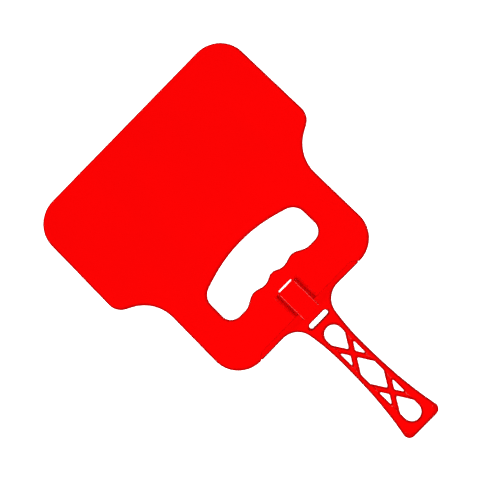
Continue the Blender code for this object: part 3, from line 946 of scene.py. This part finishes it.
class FAN_OT_tongue(bpy.types.Operator):
    """Build the latch tongue, whose root melts into the neck and whose free end is thinner"""

    bl_idname = "fan.tongue"
    bl_label = "Latch tongue"

    def execute(self, context):
        scene = context.scene
        tongue = scene.fan_tongue
        plan = Plan(scene)
        foot = plan.root - 0.7 * MM
        path = rounded(mirrored([
            (plan.half_tongue, plan.tip, tongue.tip_radius),
            (plan.half_tongue, foot, 1.6 * MM),
        ]))

        def front_face(x, y):
            """Crowned across, thinner at the tip, and dipping into the neck at the root."""
            across = tongue.crown * (x / plan.half_tongue) ** 2
            tip = 0.45 * MM * smooth((y - plan.tip + 5 * MM) / (5 * MM)) ** 2
            root = 0.55 * MM * smooth((plan.root + 2.6 * MM - y) / (3.2 * MM))
            return plan.front - across - tip - root

        def back_face(x, y):
            return np.full(np.shape(x), plan.channel[1])

        def profile(path, normals, number):
            soft = np.full(len(path), tongue.rounding)
            return round_edge(soft, 1.1 * soft, 0.5 * soft, 0.5 * soft, 9)

        outline = even(path, 0.3 * MM)
        piece = shell("tongue_shell", [outline], profile, front_face, back_face, 1.0 * MM)
        finished(piece, scene.fan_plastic, (1.0, 0.35, 1.0), "tongue_plastic", "latch_tongue")
        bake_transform(piece)
        return {"FINISHED"}


class FAN_OT_studio(bpy.types.Operator):
    """Build the studio: a pale sweep, a soft light and two that only mirror, and the camera"""

    bl_idname = "fan.studio"
    bl_label = "Studio"

    def execute(self, context):
        scene, studio = context.scene, context.scene.fan_studio
        self.sweep(studio)
        beyond_handle = -math.pi / 2
        key = self.soft_light(
            "key", beyond_handle, studio.key_height, studio.key_distance, studio.key_power
        )
        key.data.shape = "RECTANGLE"
        key.data.size, key.data.size_y = studio.key_width, studio.key_depth
        key.visible_glossy = key.data.cycles.use_multiple_importance_sampling = False
        for name, turn in (("right", 0.0), ("left", math.pi)):
            gloss = self.soft_light(
                name, turn, studio.gloss_height, studio.gloss_distance, studio.gloss_power
            )
            gloss.data.shape, gloss.data.size = "SQUARE", studio.gloss_size
            gloss.visible_diffuse = False
        world = bpy.data.worlds.new("studio_air")
        world.use_nodes = True
        world.node_tree.nodes["Background"].inputs["Color"].default_value = (0.02, 0.02, 0.02, 1.0)
        scene.world = world
        scene.view_settings.view_transform = "Standard"
        scene.view_settings.look = "None"
        self.camera(scene, studio)
        return {"FINISHED"}

    def sweep(self, studio):
        """Floor and backdrop as one bowl: radius r(t) and height z(t) of a turned profile that
        is flat, then a quarter circle, then upright. It lights nothing and mirrors in nothing."""
        radius, cove = studio.sweep_radius, studio.sweep_radius / 3
        t = quarter(16)[:, 0]
        r = np.concatenate([[0.001, 0.3, 1.0, 3.0], radius - cove + cove * np.sin(t), [radius]])
        z = np.concatenate([[0.0, 0.0, 0.0, 0.0], cove * (1 - np.cos(t)), [2 * radius]]) - 0.3 * MM
        turn = np.linspace(0, 2 * math.pi, 64, endpoint=False)
        x, y = r[:, None] * np.cos(turn), r[:, None] * np.sin(turn)
        points = np.stack([x, y, np.broadcast_to(z[:, None], x.shape)], axis=-1).reshape(-1, 3)
        ids = np.arange(len(points)).reshape(len(r), len(turn))
        mesh = bpy.data.meshes.new("sweep")
        mesh.from_pydata(points.tolist(), [], strips(ids) + [ids[0].tolist()])
        mesh.shade_smooth()
        sweep = placed("sweep", mesh)
        sweep.visible_diffuse = sweep.visible_glossy = sweep.visible_shadow = False
        material = bpy.data.materials.new("sweep_paper")
        material.use_nodes = True
        shader = material.node_tree.nodes["Principled BSDF"]
        shader.inputs["Base Color"].default_value = (0.9, 0.9, 0.9, 1.0)
        shader.inputs["Emission Color"].default_value = (1.0, 1.0, 1.0, 1.0)
        shader.inputs["Emission Strength"].default_value = 1.0
        mesh.materials.append(material)

    def soft_light(self, name, turn, height, distance, energy):
        """An area light at its place on a dome over the blade's middle, which it faces. Its
        width lies along X where it stands beyond the handle."""
        lamp = bpy.data.lights.new(f"soft_{name}", "AREA")
        lamp.energy = energy
        light = placed(f"soft_{name}", lamp)
        level = math.cos(height)
        direction = Vector((level * math.cos(turn), level * math.sin(turn), math.sin(height)))
        centre = Vector((0.0, bpy.context.scene.fan_studio.light_centre, 0.0))
        light.location = centre + direction * distance
        light.rotation_euler = direction.to_track_quat("Z", "Y").to_euler()
        light.visible_camera = False
        return light

    def camera(self, scene, studio):
        """The view's axes are the frame's, turned by the tilt, the lean and the roll in turn."""
        data = bpy.data.cameras.new("camera")
        data.sensor_width, data.lens = 36.0, studio.focal
        data.clip_start, data.clip_end = 0.01, 100.0
        camera = placed("camera", data)
        angles = (studio.camera_tilt, studio.camera_lean, studio.camera_roll)
        turn = Euler(angles, "XYZ").to_matrix()
        origin = Vector((studio.aim_x, studio.aim_y, -studio.camera_distance))
        back = turn.transposed()
        camera.matrix_world = Matrix.Translation(back @ -origin) @ back.to_4x4()
        scene.camera = camera


class FAN_PT_panel(bpy.types.Panel):
    """Sizes and build buttons of the hand fan"""

    bl_idname = "FAN_PT_panel"
    bl_label = "Hand fan"
    bl_space_type = "VIEW_3D"
    bl_region_type = "UI"
    bl_category = "Fan"

    def draw(self, context):
        for title, group, operator in (
            ("Blade", "fan_blade", "fan.blade"),
            ("Grip hole", "fan_grip", None),
            ("Handle", "fan_handle", "fan.handle"),
            ("Latch tongue", "fan_tongue", "fan.tongue"),
            ("Plastic", "fan_plastic", None),
            ("Studio", "fan_studio", "fan.studio"),
        ):
            box = self.layout.box()
            box.label(text=title)
            sizes = getattr(context.scene, group)
            for name in sizes.__annotations__:
                box.prop(sizes, name)
            if operator:
                box.operator(operator)


GROUPS = {
    "fan_blade": FanBlade,
    "fan_grip": FanGrip,
    "fan_handle": FanHandle,
    "fan_tongue": FanTongue,
    "fan_plastic": FanPlastic,
    "fan_studio": FanStudio,
}
OPERATORS = (FAN_OT_blade, FAN_OT_handle, FAN_OT_tongue, FAN_OT_studio)
CLASSES = (*GROUPS.values(), *OPERATORS, FAN_PT_panel)


def register():
    for made in CLASSES:
        bpy.utils.register_class(made)
    for name, group in GROUPS.items():
        setattr(bpy.types.Scene, name, bpy.props.PointerProperty(type=group))


def unregister():
    for name in GROUPS:
        delattr(bpy.types.Scene, name)
    for made in reversed(CLASSES):
        bpy.utils.unregister_class(made)


def main():
    register()
    bpy.ops.fan.blade()
    bpy.ops.fan.handle()
    bpy.ops.fan.tongue()
    bpy.ops.fan.studio()


if __name__ == "__main__":
    main()
